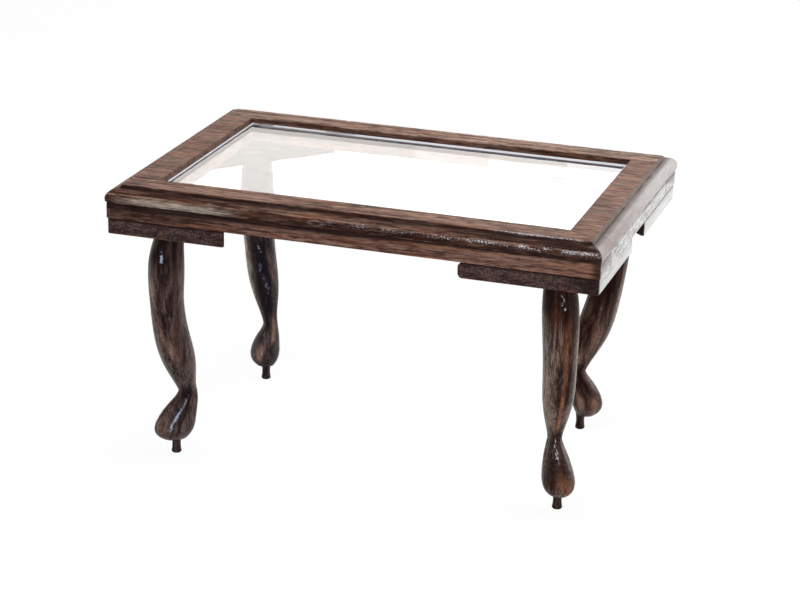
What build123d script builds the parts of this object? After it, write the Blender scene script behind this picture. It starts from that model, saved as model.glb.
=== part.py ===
from build123d import *
import os
from math import cos, radians, sin

# A doll's-house display table: a clear pane let into a moulded top frame, an apron frame
# under it, a triangular block glued in each corner and four cabriole legs.
# Millimetres. +Z is up, the long side lies along X and the front faces -Y.
# The origin is on the floor, under the middle of the top.

# Whole table
table_length = 101.6
table_width = 67.8
table_height = 59.8

# Moulded top frame: two full-length rails with two stiles butted between them
frame_thickness = 3.2
rail_width = 8.4
step_height = 0.6        # small step down from the flat to the quirk
step_slope = 0.35        # how far the step leans outward on its way down
quirk_width = 0.35       # narrow flat between the step and the ovolo
ovolo_radius = 2.0
frame_arris = 0.18       # rounding of the edges of each top face

# Clear pane, dropped in from above onto the apron's ledge
pane_recess = 1.15       # from the top of the frame down to the top of the pane
pane_clearance = 0.15    # gap between the pane and the frame on each side
pane_arris = 0.12

# Apron frame, set back a little under the moulding
apron_height = 3.4
apron_inset = 0.3
pane_ledge = 0.9         # how far the apron reaches in under the pane
apron_arris = 0.15

# Corner blocks, right triangles in plan
block_thickness = 3.2
block_inset = 0.1        # behind the faces of the apron
left_block_reach = 25.5  # from the corner along the front or back
right_block_reach = 28.7
end_block_reach = 28.8   # from the corner along the end
block_tip_radius = 0.5
block_arris = 0.15
block_end_rounding = 0.2  # of the end along the front or back, seen from there
sanded_end_rounding = 0.8

# Cabriole legs
knee_radius = 3.6
ankle_radius = 1.8
foot_radius = 3.22       # half the width of the foot
knee_reach = 2.5         # how far the knee stands out from over the middle of the foot
ankle_set_back = 2.4     # how far the ankle falls back behind it

# Round stub under each foot
stub_height = 3.4
stub_radius = 1.05
stub_neck_radius = 0.88
stub_rounding = 0.4

# Tenon on top of each leg, glued into a blind hole in its block
tenon_radius = 1.6
tenon_length = 2.2
tenon_clearance = 0.05   # round the tenon
tenon_end_gap = 0.2      # above the tenon

# The legs are carved and set by hand. Counted outward from the middle of the table along X
# and Y, each corner has the inset of the foot from the end and from the side of the top, the
# direction of the leg's curve in degrees from X, how far the top of the leg leans outward,
# how full its lower shank is, the length of the foot over its width, and how far the stub
# is set back from the middle of the foot.
leg_settings = {
    "front_left": ((10.4, 11.3), 43, (-2.6, 4.3), 1.06, 1.3, 0),
    "front_right": ((9.0, 12.0), 60, (-2.5, -0.1), 0.82, 1.2, 0),
    "back_left": ((13.2, 11.0), 40, (2.1, 1.9), 0.89, 1.0, 0),
    "back_right": ((14.5, 13.2), 24, (2.2, 0.2), 1.08, 1.0, 0.75),
}

# Sections of the shank from the block down to the ankle: height as a share of the leg above
# its stub, half width, reach outward from over the middle of the foot, and how much of the
# leg's own fullness it takes.
shank_sections = [
    (1.000, 0.82 * knee_radius, 0.62 * knee_reach, 0),
    (0.880, 0.99 * knee_radius, 0.99 * knee_reach, 0),
    (0.740, knee_radius, knee_reach, 0),
    (0.600, 0.96 * knee_radius, 0.78 * knee_reach, 0.15),
    (0.460, knee_radius, 0.26 * knee_reach, 0.6),
    (0.330, 0.78 * knee_radius, -0.40 * ankle_set_back, 1),
    (0.228, ankle_radius, -ankle_set_back, 1),
]

# Sections of the foot from the ankle down to the sole: height, half width and reach
foot_sections = [
    (0.200, 0.57 * foot_radius, -0.88 * ankle_set_back),
    (0.165, 0.74 * foot_radius, -0.57 * ankle_set_back),
    (0.130, 0.88 * foot_radius, -0.25 * ankle_set_back),
    (0.095, 0.98 * foot_radius, 0),
    (0.045, foot_radius, 0.23 * ankle_set_back),
    (0.012, 0.78 * foot_radius, 0.22 * ankle_set_back),
    (0.000, 0.62 * foot_radius, 0.14 * ankle_set_back),
]

# Levels and plan sizes that follow from these
frame_bottom = table_height - frame_thickness
apron_bottom = frame_bottom - apron_height
block_bottom = apron_bottom - block_thickness
step_foot = table_height - step_height
moulding_width = step_slope + quirk_width + ovolo_radius
opening_length = table_length - 2 * rail_width
opening_width = table_width - 2 * rail_width
apron_length = table_length - 2 * apron_inset
apron_width = table_width - 2 * apron_inset
apron_strip = rail_width - apron_inset + pane_ledge

# The way outward along X and along Y at each corner
corners = {
    "front_left": (-1, -1),
    "front_right": (1, -1),
    "back_left": (-1, 1),
    "back_right": (1, 1),
}


def moulded_outline(half_width):
    """Half the section of the top: flat, sloping step, quirk, ovolo and short land."""
    flat_end = half_width - moulding_width
    ovolo_start = half_width - ovolo_radius
    ovolo_end = step_foot - ovolo_radius
    Polyline(
        (0, frame_bottom),
        (0, table_height),
        (flat_end, table_height),
        (flat_end + step_slope, step_foot),
        (ovolo_start, step_foot),
    )
    CenterArc((ovolo_start, ovolo_end), ovolo_radius, 0, 90)
    Polyline((half_width, ovolo_end), (half_width, frame_bottom), (0, frame_bottom))


def finish(builder, name):
    """Labels the piece and writes it out."""
    builder.part.label = name
    export_step(builder.part, f"parts/{name}.step")


def corner_point(name, x, y):
    """A point given by its distances outward from the middle of the table."""
    x_way, y_way = corners[name]
    return (x_way * x, y_way * y)


def block_reach(name):
    return left_block_reach if name.endswith("left") else right_block_reach


def end_rounding(name):
    """The front right block is the one that was sanded round at its end."""
    return sanded_end_rounding if name == "front_right" else block_end_rounding


def leg_centre(name, height, reach):
    """Middle of the leg at a height, in plan."""
    (end_inset, side_inset), facing, (lean_x, lean_y), *_ = leg_settings[name]
    share = height / block_bottom
    x = table_length / 2 - end_inset + reach * cos(radians(facing)) + lean_x * share
    y = table_width / 2 - side_inset + reach * sin(radians(facing)) + lean_y * share
    return corner_point(name, x, y)


def leg_top_centre(name):
    top_reach = shank_sections[0][2]
    return leg_centre(name, block_bottom, top_reach)


def leg_height(share):
    return stub_height + share * (block_bottom - stub_height)


os.makedirs("parts", exist_ok=True)

# The top is a slab moulded all round its edge, with mitred corners, sawn into four
with BuildPart() as moulded_top:
    with BuildSketch(Plane.YZ):
        with BuildLine():
            moulded_outline(table_width / 2)
        make_face()
        mirror(about=Plane.YZ)
    extrude(amount=table_length / 2, both=True)
    with BuildSketch(Plane.XZ):
        with BuildLine():
            moulded_outline(table_length / 2)
        make_face()
        mirror(about=Plane.YZ)
    extrude(amount=table_width / 2, both=True, mode=Mode.INTERSECT)

rail_middle = (table_width - rail_width) / 2
stile_middle = (table_length - rail_width) / 2
frame_pieces = {
    "front_rail": ((0, -rail_middle), (table_length, rail_width)),
    "back_rail": ((0, rail_middle), (table_length, rail_width)),
    "left_stile": ((-stile_middle, 0), (rail_width, opening_width)),
    "right_stile": ((stile_middle, 0), (rail_width, opening_width)),
}
for name, (middle, plan_size) in frame_pieces.items():
    with BuildPart() as frame_piece:
        add(moulded_top.part)
        with BuildSketch(Plane.XY.offset(frame_bottom)):
            with Locations(middle):
                Rectangle(*plan_size)
        extrude(amount=frame_thickness, mode=Mode.INTERSECT)
        fillet(faces().sort_by(Axis.Z)[-1].edges(), frame_arris)
    finish(frame_piece, name)

with BuildPart() as pane:
    with BuildSketch(Plane.XY.offset(frame_bottom)):
        Rectangle(opening_length - 2 * pane_clearance, opening_width - 2 * pane_clearance)
    extrude(amount=frame_thickness - pane_recess)
    chamfer(faces().sort_by(Axis.Z)[-1].edges(), pane_arris)
finish(pane, "pane")

apron_rail_middle = (apron_width - apron_strip) / 2
apron_end_middle = (apron_length - apron_strip) / 2
apron_pieces = {
    "front_apron": ((0, -apron_rail_middle), (apron_length, apron_strip)),
    "back_apron": ((0, apron_rail_middle), (apron_length, apron_strip)),
    "left_apron": ((-apron_end_middle, 0), (apron_strip, apron_width - 2 * apron_strip)),
    "right_apron": ((apron_end_middle, 0), (apron_strip, apron_width - 2 * apron_strip)),
}
for name, (middle, plan_size) in apron_pieces.items():
    with BuildPart() as apron_piece:
        with BuildSketch(Plane.XY.offset(apron_bottom)):
            with Locations(middle):
                Rectangle(*plan_size)
        extrude(amount=apron_height)
        fillet(faces().sort_by(Axis.Z)[0].edges(), apron_arris)
    finish(apron_piece, name)

for name in corners:
    block_x = apron_length / 2 - block_inset
    block_y = apron_width / 2 - block_inset
    with BuildPart() as block:
        with BuildSketch(Plane.XY.offset(block_bottom)) as triangle:
            with BuildLine():
                Polyline(
                    corner_point(name, block_x, block_y),
                    corner_point(name, block_x - block_reach(name), block_y),
                    corner_point(name, block_x, block_y - end_block_reach),
                    close=True,
                )
            make_face()
            fillet(triangle.vertices(), block_tip_radius)
        extrude(amount=block_thickness)
        fillet(faces().sort_by(Axis.Z)[0].edges(), block_arris)
        extent = block.part.bounding_box()
        x_way, _ = corners[name]
        tip_end = 0 if x_way > 0 else -1
        with BuildSketch(Plane.XZ) as front_view:
            with Locations((extent.center().X, extent.center().Z)):
                Rectangle(extent.size.X, extent.size.Z)
            fillet(front_view.vertices().group_by(Axis.X)[tip_end], end_rounding(name))
        extrude(amount=table_width / 2, both=True, mode=Mode.INTERSECT)
        with BuildSketch(Plane.XY.offset(block_bottom)):
            with Locations(leg_top_centre(name)):
                Circle(tenon_radius + tenon_clearance)
        extrude(amount=tenon_length + tenon_end_gap, mode=Mode.SUBTRACT)
    finish(block, f"block_{name}")

for name in corners:
    _, facing, _, fullness, foot_stretch, stub_set_back = leg_settings[name]
    x_way, y_way = corners[name]
    turn = facing if x_way * y_way > 0 else -facing
    with BuildPart() as leg:
        for share, half_width, reach, taken in shank_sections:
            height = leg_height(share)
            with BuildSketch(Plane.XY.offset(height)):
                with Locations(leg_centre(name, height, reach)):
                    Circle(half_width * (1 + (fullness - 1) * taken))
        loft()
        ankle_height = leg_height(shank_sections[-1][0])
        with BuildSketch(Plane.XY.offset(ankle_height)):
            with Locations(leg_centre(name, ankle_height, -ankle_set_back)):
                Circle(ankle_radius * fullness)
        for share, half_width, reach in foot_sections:
            height = leg_height(share)
            with BuildSketch(Plane.XY.offset(height)):
                with Locations(Location(leg_centre(name, height, reach), turn)):
                    Ellipse(half_width * foot_stretch, half_width)
        loft()
        with BuildSketch(Plane.XY.offset(block_bottom)):
            with Locations(leg_top_centre(name)):
                Circle(tenon_radius)
        extrude(amount=tenon_length)
        stub_x, stub_y = leg_centre(name, stub_height, -stub_set_back)
        with BuildSketch(Plane((stub_x, stub_y, 0), x_dir=(1, 0, 0), z_dir=(0, -1, 0))):
            with BuildLine():
                Polyline((0, stub_height), (0, 0), (stub_radius - stub_rounding, 0))
                CenterArc((stub_radius - stub_rounding, stub_rounding), stub_rounding, -90, 90)
                ThreePointArc(
                    (stub_radius, stub_rounding),
                    (stub_neck_radius, (stub_rounding + stub_height) / 2),
                    (stub_radius, stub_height),
                )
                Line((stub_radius, stub_height), (0, stub_height))
            make_face()
        revolve(axis=Axis((stub_x, stub_y, 0), (0, 0, 1)))
    finish(leg, f"leg_{name}")
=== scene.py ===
import itertools
from math import cos, pi, radians, sin

import bpy
import numpy as np
from mathutils import Matrix, Vector


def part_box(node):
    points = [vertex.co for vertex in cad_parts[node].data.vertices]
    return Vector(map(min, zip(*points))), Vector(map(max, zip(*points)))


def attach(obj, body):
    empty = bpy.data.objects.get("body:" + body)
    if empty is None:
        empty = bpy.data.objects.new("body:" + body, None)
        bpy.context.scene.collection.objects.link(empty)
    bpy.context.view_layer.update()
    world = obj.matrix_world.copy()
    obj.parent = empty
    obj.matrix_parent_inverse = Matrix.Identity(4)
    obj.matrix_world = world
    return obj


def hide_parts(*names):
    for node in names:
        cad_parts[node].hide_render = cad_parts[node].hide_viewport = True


# A doll's-house display table of dark stained wood: a clear pane in a moulded top, an apron
# frame with a triangular block glued in each corner, and four carved cabriole legs.
# Lengths named here are millimetres; the scene itself is in metres.

MM = 0.001

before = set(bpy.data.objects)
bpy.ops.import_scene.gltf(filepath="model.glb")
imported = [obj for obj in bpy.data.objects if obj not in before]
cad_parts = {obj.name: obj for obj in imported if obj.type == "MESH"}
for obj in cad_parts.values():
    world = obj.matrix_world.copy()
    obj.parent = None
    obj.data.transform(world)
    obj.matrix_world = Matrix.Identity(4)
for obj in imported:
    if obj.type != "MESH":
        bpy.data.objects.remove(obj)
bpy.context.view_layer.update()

# Moulding round the top, from the flat outward and down
STEP_HEIGHT = 0.6
STEP_SLOPE = 0.35
QUIRK_WIDTH = 0.35
OVOLO_RADIUS = 2.0
MOULDING_WIDTH = STEP_SLOPE + QUIRK_WIDTH + OVOLO_RADIUS

# Worn roundings
FRAME_ARRIS = 0.16
STRIP_ARRIS = 0.14
BLOCK_ARRIS = 0.16

# Depth of the moulding's torn fibres and of the cutter's chatter, the chatter's pitch, depth
# of the ripple all over, and of the chips out of the moulding's foot and brow
TEAR_DEPTH = 0.05
CHATTER_DEPTH = 0.015
CHATTER_PITCH = 1.7
RIPPLE_DEPTH = 0.012
FOOT_CHIP = 0.16
BROW_CHIP = 0.06

# Depth of the saw marks and of the fuzz on apron and blocks
SAW_DEPTH = 0.02
FUZZ_DEPTH = 0.012

# On the legs: height of soft lumps and of the knife's facets, how many facets go round, and
# depth of the pores and of the pits in the foot
LUMP_HEIGHT = 0.045
FACET_HEIGHT = 0.03
FACETS = 9
PORE_DEPTH = 0.04
PIT_DEPTH = 0.05

# Half the table's length, and where the stiles' inner faces are along it
HALF_LENGTH = 50.8
STILE_FOOT = 42.4

# Clear pane
PANE_HALF_LENGTH = 42.25
PANE_HALF_WIDTH = 25.35
PANE_TOP = 58.65

# Foot of a leg, above its stub, and a leg's usual radius
SOLE = 3.4
LEG_RADIUS = 3.2

# Rounding of the thin end of each corner block, seen from the front
TIP_ROUNDING = {"front_left": 0.2, "front_right": 1.2, "back_left": 0.2, "back_right": 0.2}

# Floor: how far it reaches to the sides and forward, where it starts to turn up behind, the
# radius of that turn, and how high the backdrop stands
FLOOR_REACH = 3000
FLOOR_TURN = 1500
TURN_RADIUS = 600
BACKDROP_HEIGHT = 3000

# Directions of the grain
ALONG_X, ALONG_Y, ALONG_Z = 0, 1, 2

# Spacing of the points of the surfaces, along and across each strip of wood
ALONG_STEP = 0.22
ACROSS_STEP = 0.11
LEG_COLUMNS = 200
LEG_STEP = 0.2

# Colours: near black for stain, pores and painted shade, orange where stain is rubbed through, pale
# worn wood that also serves as painted sheen, three tones of dust and painted sheen for the end
# grain at the right end, and the colour of painted glints
COLOURS = {
    "deep": (0.016, 0.006, 0.005),
    "rubbed": (0.310, 0.110, 0.048),
    "wear_and_sheen": (0.420, 0.345, 0.280),
    "dust_and_sheen_colour": (0.330, 0.280, 0.272),
    "ridge_dust_and_sheen": (0.200, 0.165, 0.148),
    "whitest_dust_and_sheen": (0.640, 0.640, 0.630),
    "painted_glint": (0.700, 0.680, 0.710),
}


# ---------------- numbers and noise


def lattice_noise(points, seed):
    """Random heights from -1 to 1 at the whole-number points of a lattice, blended between
    them along each axis by the smooth step 3t^2 - 2t^3."""
    size = 32
    table = np.random.default_rng(seed).uniform(-1, 1, (size, size, size))
    base = np.floor(points).astype(int)
    part = points - base
    part = part * part * (3 - 2 * part)
    value = np.zeros(points.shape[:-1])
    for corner in itertools.product((0, 1), repeat=3):
        index = (base + corner) % size
        weight = np.where(corner, part, 1 - part).prod(axis=-1)
        value += weight * table[index[..., 0], index[..., 1], index[..., 2]]
    return value


def noise_over(a, b, a_size, b_size, seed):
    """Noise over two lengths, each divided by the size of the lumps along it."""
    a, b = np.broadcast_arrays(a, b)
    flat = np.stack([a / a_size, b / b_size, np.full(a.shape, 0.5)], axis=-1)
    return lattice_noise(flat, seed)


def ease(value, low, high):
    """0 below low, 1 above high, and 3t^2 - 2t^3 of the share t of the way between."""
    t = np.clip((value - low) / (high - low), 0, 1)
    return t * t * (3 - 2 * t)


def between(value, rise, fall):
    """1 between two eased edges, each given as where it starts and where it ends."""
    return ease(value, *rise) * (1 - ease(value, *fall))


def hump(value, middle, width):
    """1 at the middle, falling off on both sides as exp(-(distance / width)^2)."""
    return np.exp(-(((value - middle) / width) ** 2))


def spaced(start, end, step):
    """Evenly spaced numbers from start to end, about a step apart."""
    return np.linspace(start, end, max(2, round(abs(end - start) / step) + 1))


def edge_drop(distance, radius):
    """How far a quarter-round edge has fallen away at a distance in from its end: the radius
    less the height there of a quarter circle that rises from the end."""
    t = np.clip(distance / radius, 0, 1)
    return radius * (1 - np.sqrt(1 - (1 - t) ** 2))


# ---------------- meshes


def grid_quads(rows, columns, closed):
    """Four-sided faces between the neighbours of a grid; a closed one joins its last
    column to its first."""
    last = columns if closed else columns - 1
    row, column = np.meshgrid(np.arange(rows - 1), np.arange(last), indexing="ij")
    after = (column + 1) % columns
    corners = [(row, column), (row, after), (row + 1, after), (row + 1, column)]
    return np.stack([r * columns + c for r, c in corners], axis=-1).reshape(-1, 4)


def tube_faces(rows, columns, flip=False):
    """The four-sided faces of a closed tube of rings, and the flat caps at its two ends."""
    quads = grid_quads(rows, columns, closed=True)
    first = np.arange(columns)
    caps = [first[::-1], first + (rows - 1) * columns]
    if flip:
        quads, caps = quads[:, ::-1], [cap[::-1] for cap in caps]
    return quads, caps


def new_object(name, data):
    """A new object in the scene."""
    thing = bpy.data.objects.new(name, data)
    bpy.context.collection.objects.link(thing)
    return thing


def make_piece(replaced, points, quads, caps, marks):
    """Makes a node's wooden piece from points in millimetres, four-sided faces and flat caps,
    rides it on the body, and writes each mark as a number at every point."""
    name = f"{replaced}_wood"
    mesh = bpy.data.meshes.new(name)
    loops = np.concatenate([quads.ravel(), *caps])
    totals = np.concatenate([np.full(len(quads), 4), [len(cap) for cap in caps]]).astype(int)
    starts = np.concatenate([[0], np.cumsum(totals)[:-1]])
    mesh.vertices.add(points.size // 3)
    mesh.vertices.foreach_set("co", (points * MM).ravel())
    mesh.loops.add(len(loops))
    mesh.loops.foreach_set("vertex_index", loops.astype(np.int32))
    mesh.polygons.add(len(totals))
    mesh.polygons.foreach_set("loop_start", starts.astype(np.int32))
    mesh.update(calc_edges=True)
    mesh.polygons.foreach_set("use_smooth", np.ones(len(totals), dtype=bool))
    mesh.set_sharp_from_angle(angle=radians(50))
    for mark, values in marks.items():
        layer = mesh.attributes.new(mark, "FLOAT", "POINT")
        layer.data.foreach_set("value", values.ravel().astype(np.float32))
    piece = new_object(name, mesh)
    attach(piece, "root")
    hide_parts(replaced)
    return piece


def box_mm(node):
    """The lowest and the highest corner of a node's box, in millimetres."""
    low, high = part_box(node)
    return np.array(low) / MM, np.array(high) / MM


def lengths_along(line):
    """How far along a line each of its points lies."""
    return np.concatenate([[0], np.cumsum(np.hypot(*np.diff(line, axis=0).T))])


def points_along(line, along, s):
    """The points that lie s along a line whose own points lie at along."""
    return np.stack([np.interp(s, along, line[:, i]) for i in (0, 1)], axis=-1)


def left_of(tangent):
    """Unit normals to the left of tangents."""
    normal = np.stack([-tangent[:, 1], tangent[:, 0]], axis=-1)
    return normal / np.linalg.norm(normal, axis=-1, keepdims=True)


def rounded_loop(corners, arris, step):
    """A closed outline through the corners, as points and outward normals: points close
    together, averaged over the length of the arris, which rounds each corner."""
    closed = np.array([*corners, corners[0]], dtype=float)
    along = lengths_along(closed)
    fine = max(64, int(along[-1] / (arris / 6)))
    s = np.arange(fine) * along[-1] / fine
    loop = points_along(closed, along, s)
    reach = 6
    loop = sum(np.roll(loop, k, axis=0) for k in range(-reach, reach + 1)) / (2 * reach + 1)
    count = max(24, int(along[-1] / step))
    keep = (np.arange(count) * fine / count).astype(int)
    tangent = (np.roll(loop, -2, axis=0) - np.roll(loop, 2, axis=0))[keep]
    return loop[keep], -left_of(tangent), s[keep]


# ---------------- moulded frame


def moulding_profile(flat_to, arris, top, bottom):
    """Section of the moulded top from its underside out and over to the flat, as insets
    from the outer face and heights: land, quarter-round ovolo, quirk, sloping step and
    flat, averaged over the length of the arris. Returned with its outward normals, how far
    along it each point lies, and where along it the named places are."""
    step_foot = top - STEP_HEIGHT
    turn = np.linspace(pi, pi / 2, 24)
    ovolo = np.stack(
        [OVOLO_RADIUS + OVOLO_RADIUS * np.cos(turn),
         step_foot - OVOLO_RADIUS + OVOLO_RADIUS * np.sin(turn)], axis=-1)
    line = np.vstack([
        [(flat_to, bottom), (0, bottom)],
        ovolo,
        [(OVOLO_RADIUS + QUIRK_WIDTH, step_foot), (MOULDING_WIDTH, top), (flat_to, top)],
    ])
    along = lengths_along(line)
    s = spaced(0, along[-1], arris / 6)
    fine = points_along(line, along, s)
    reach = 4
    padded = np.pad(fine, ((reach, reach), (0, 0)), mode="edge")
    smooth = sum(padded[k:k + len(fine)] for k in range(2 * reach + 1)) / (2 * reach + 1)
    smooth[:reach] = fine[:reach]
    smooth[-reach:] = fine[-reach:]
    # the underside is as wide as the strip, and needs few points
    coarse = spaced(0, flat_to - 1, 0.8)[:-1]
    close = spaced(flat_to - 1, along[-1], ACROSS_STEP)
    rows = np.concatenate([coarse, close])
    profile = points_along(smooth, s, rows)
    normal = left_of(np.gradient(profile, rows, axis=0))
    places = {
        "foot": along[1], "ovolo": along[2], "quirk": along[-4], "brow": along[-2],
        "end": along[-1],
    }
    return profile, normal, rows, places


def frame_wear(run, rows, places, x, seed):
    """How deep tools and wear have cut a moulded strip, in millimetres, over its length and
    its section: torn noise and a sine wave of chatter on the moulding, a ripple of noise all
    over, and noisy chips along its foot and its brow.
    The marks say where it is darkened by stain and painted shade, in the hollow beside the flat,
    in the stiles' groove and over the lower half of the round, where the round's crown is worn
    brown, darker towards the right, with a small knot, where its bottom edge is worn through to
    pale wood towards the left, and where pale glints are painted, along the round and on the
    brow towards the right."""
    across = rows[:, None]
    along = run[None, :]
    foot, ovolo, quirk, brow, end = (
        places[name] for name in ("foot", "ovolo", "quirk", "brow", "end"))

    def noise(length, width, offset):
        return noise_over(along, across, length, width, seed + offset)

    torn = np.clip(noise(0.55, 0.22, 0), 0, 1)
    chatter = 0.5 + 0.5 * np.sin(2 * pi * along / CHATTER_PITCH + 2 * noise(5, 3, 1))
    chips = ease(noise(1.8, 0.5, 2), -0.1, 0.6)
    ripple = noise(2.5, 0.5, 3)
    patches = ease(noise(7, 1.2, 4), -0.45, 0.4)
    streaks = ease(noise(6, 0.28, 5), -0.5, 0.5)
    scraped = ease(noise(2.6, 0.35, 6), -0.2, 0.5)
    breaks = ease(noise_over(along, 0 * across, 4, 1, seed + 7), -0.7, 0.2)
    clusters = ease(noise(2.2, 0.5, 8), -0.55, 0.3)

    # parts of the section
    on_moulding = between(across, (foot - 0.3, foot + 0.3), (brow, brow + 0.5))
    foot_edge = hump(across, foot + 0.15, 0.4)
    land = hump(across, ovolo + 0.1, 0.75)
    lower = between(across, (foot - 0.2, foot + 0.1), (quirk - 2.5, quirk - 1.6))
    crown = between(across, (quirk - 2.0, quirk - 1.6), (quirk - 0.7, quirk - 0.4))
    hollow = between(across, (quirk - 0.7, quirk - 0.35), (brow - 0.25, brow + 0.1))
    groove = hump(across, quirk + 0.32, 0.24)
    brow_edge = hump(across, brow, 0.2)
    flat = ease(across, brow + 0.1, brow + 0.5)
    lip = ease(across, end - 0.14, end - 0.02) + 1 - ease(across, 0, 0.4)

    # parts of the table's length
    on_front = 1 - ease(np.abs(x), HALF_LENGTH - 0.3, HALF_LENGTH)
    to_left = 1 - ease(x, -36, -14)
    to_right = ease(x, 8, 44)
    chipped = between(x, (-51, -40), (-30, -20))
    knot = hump(np.hypot((x + 6.2) / 1.4, (across - quirk + 2.7) / 0.45), 1, 0.35)

    depth = on_moulding * (TEAR_DEPTH * torn + CHATTER_DEPTH * chatter) + RIPPLE_DEPTH * (1 + ripple)
    depth = depth + (FOOT_CHIP * foot_edge + BROW_CHIP * brow_edge) * chips

    scuffs_and_sheen = land * (1.05 + 1.00 * scraped) * (0.7 + 0.3 * patches)
    wear_and_sheen = (0.25 * foot_edge * chips + scuffs_and_sheen) * chipped + 0.24 * knot
    rubbed = 0.22 * crown * breaks + 0.2 * brow_edge + 0.25 * lower * scraped

    light_streaks = streaks * patches * (0.1 + 0.4 * to_left)
    stained_crown = 0.42 + 0.35 * (1 - streaks) + 0.3 * (1 - ease(x, -26, -15)) + 0.45 * to_right
    # the hollow and the lower round are stain with painted shade; the crown is stain
    stain_and_shade = hollow * (0.92 + 0.1 * ripple) + lower * (0.96 - light_streaks) + crown * stained_crown
    # on the stiles only the groove beside the flat is darkened: painted shade in the groove
    groove_shade = np.clip(groove * (0.55 + 0.75 * breaks), 0, 1)
    stain_and_shade = on_front * stain_and_shade + (1 - on_front) * groove_shade
    dark_flat = 0.25 * to_left + 0.45 * between(x, (18, 40), (47.5, 48))
    stain_and_shade = stain_and_shade + flat * streaks * dark_flat
    corner = ease(x, HALF_LENGTH - 1.4, HALF_LENGTH - 0.6) * on_front * (1 - flat)
    stain_and_shade = np.maximum(stain_and_shade, 0.85 * corner)

    # glints painted along the round and on the brow towards the right: painted highlights
    on_round = hump(across, quirk - 2.35 + 0.1 * to_right, 0.6) * ease(x, -14, 2)
    on_brow = hump(across, brow - 0.05, 0.28) * between(x, (22, 36), (48, 50))
    painted_glint_beads = on_round * (0.3 + 0.7 * clusters) * (0.45 + 0.24 * to_right)
    painted_glint_beads = painted_glint_beads + 0.85 * on_brow * (0.5 + 0.5 * clusters)
    # the lip beside the pane is darkened too: painted shade in the recess
    marks = {
        "wear_and_sheen": wear_and_sheen,
        "rubbed": rubbed * streaks * on_front,
        "stain_and_shade_mark": np.maximum(stain_and_shade, 0.6 * lip),
        "painted_glint": painted_glint_beads * on_front,
    }
    return depth, {mark: np.clip(value, 0, 1) for mark, value in marks.items()}


def worn_section(low, high, width, run, to_joint, x, seed):
    """The moulded section as tools and wear have left it along a run: each point set back
    along its normal by the depth of the wear, which fades out at the joints, so that the
    pieces meet. Returned as insets from the outer face, heights, how much of each point is on
    top, and marks."""
    profile, normal, rows, places = moulding_profile(width, FRAME_ARRIS, high, low)
    depth, marks = frame_wear(run, rows, places, x, seed)
    depth = depth * ease(to_joint, 0, 1)
    inset = np.clip(profile[:, :1] - normal[:, :1] * depth, 0, width)
    height = np.clip(profile[:, 1:] - normal[:, 1:] * depth, low, high)
    on_top = ease(height, high - 0.5, high - 0.2)
    return inset, height, on_top, marks


def moulded_rail(node, side):
    """A rail of the frame with the moulding returned round both its ends: each point of the
    section is carried along a three-sided path, out from one joint, along the front and back
    in to the other, at its own inset. The inner face is one flat cap."""
    low, high = box_mm(node)
    length, width = high[0] - low[0], high[1] - low[1]
    end_share = spaced(0, 1, ACROSS_STEP * 2 / width)
    run_share = spaced(0, 1, ALONG_STEP / length)
    run = np.concatenate([
        end_share[:-1] * width,
        width + run_share * length,
        width + length + end_share[1:] * width,
    ])
    to_joint = np.minimum(run, run[-1] - run)[None, :]
    to_right = np.clip((run - width) / length, 0, 1)[None, :]
    seed = 11 if side < 0 else 23
    inset, height, on_top, marks = worn_section(
        low[2], high[2], width, run, to_joint, low[0] + to_right * length, seed)
    x = low[0] + inset + to_right * (length - 2 * inset)
    inward = width + (inset - width) * np.minimum(to_joint / width, 1)
    joint = width - inward
    height = height - on_top * edge_drop(joint, FRAME_ARRIS)
    y = low[1] + inward if side < 0 else high[1] - inward
    points = np.stack([x, y, height], axis=-1)
    count, columns = x.shape
    quads = grid_quads(count, columns, closed=False)
    first = np.arange(count) * columns
    last = first + columns - 1
    cap = np.concatenate([first, last[::-1]])
    if side < 0:
        quads = quads[:, ::-1]
    else:
        cap = cap[::-1]
    # a dark line along the joint with each stile: a dark joint and painted shade
    seam_and_shadow = hump(joint, 0, 0.12) * between(np.abs(x), (STILE_FOOT, STILE_FOOT + 0.4), (47.6, 48.0))
    marks = {mark: value + 0 * x for mark, value in marks.items()}
    marks["stain_and_shade_mark"] = np.clip(marks["stain_and_shade_mark"] + 0.8 * seam_and_shadow, 0, 1)
    # the inner face above the pane takes these marks: darkened with painted shade in the recess, and
    # a little rubbed
    marks["stain_and_shade_mark"][:, [0, -1]] = 0.8
    marks["rubbed"][:, [0, -1]] = 0.12
    return make_piece(node, points, quads, [cap], marks)


def moulded_stile(node, side):
    """A stile of the frame: the moulded section, closed by its inner face, carried straight
    between the rails, with square cut ends."""
    low, high = box_mm(node)
    width = high[0] - low[0]
    along = spaced(low[1], high[1], ALONG_STEP)
    end_x, seed = (low[0], 37) if side < 0 else (high[0], 53)
    to_end = np.minimum(along - low[1], high[1] - along)[None, :]
    inset, height, on_top, marks = worn_section(
        low[2], high[2], width, along, to_end, end_x, seed)
    height = height - on_top * edge_drop(to_end, FRAME_ARRIS)
    height = height - on_top * edge_drop(width - inset, FRAME_ARRIS)
    x = low[0] + inset if side < 0 else high[0] - inset
    y = np.broadcast_to(along[None, :], x.shape)
    points = np.stack([x, y, height], axis=-1)
    points = points.transpose(1, 0, 2)
    quads, caps = tube_faces(*points.shape[:2], flip=side > 0)
    # a dark line along the joints with the rails: a dark joint and painted shade
    seam_and_shadow = hump(to_end, 0, 0.12) * ease(inset, MOULDING_WIDTH + 0.1, MOULDING_WIDTH + 0.5)
    marks["stain_and_shade_mark"] = np.clip(marks["stain_and_shade_mark"] + 0.8 * seam_and_shadow, 0, 1)
    marks = {mark: np.broadcast_to(value, x.shape).T for mark, value in marks.items()}
    return make_piece(node, points, quads, caps, marks)


# ---------------- apron strips and blocks


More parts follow.
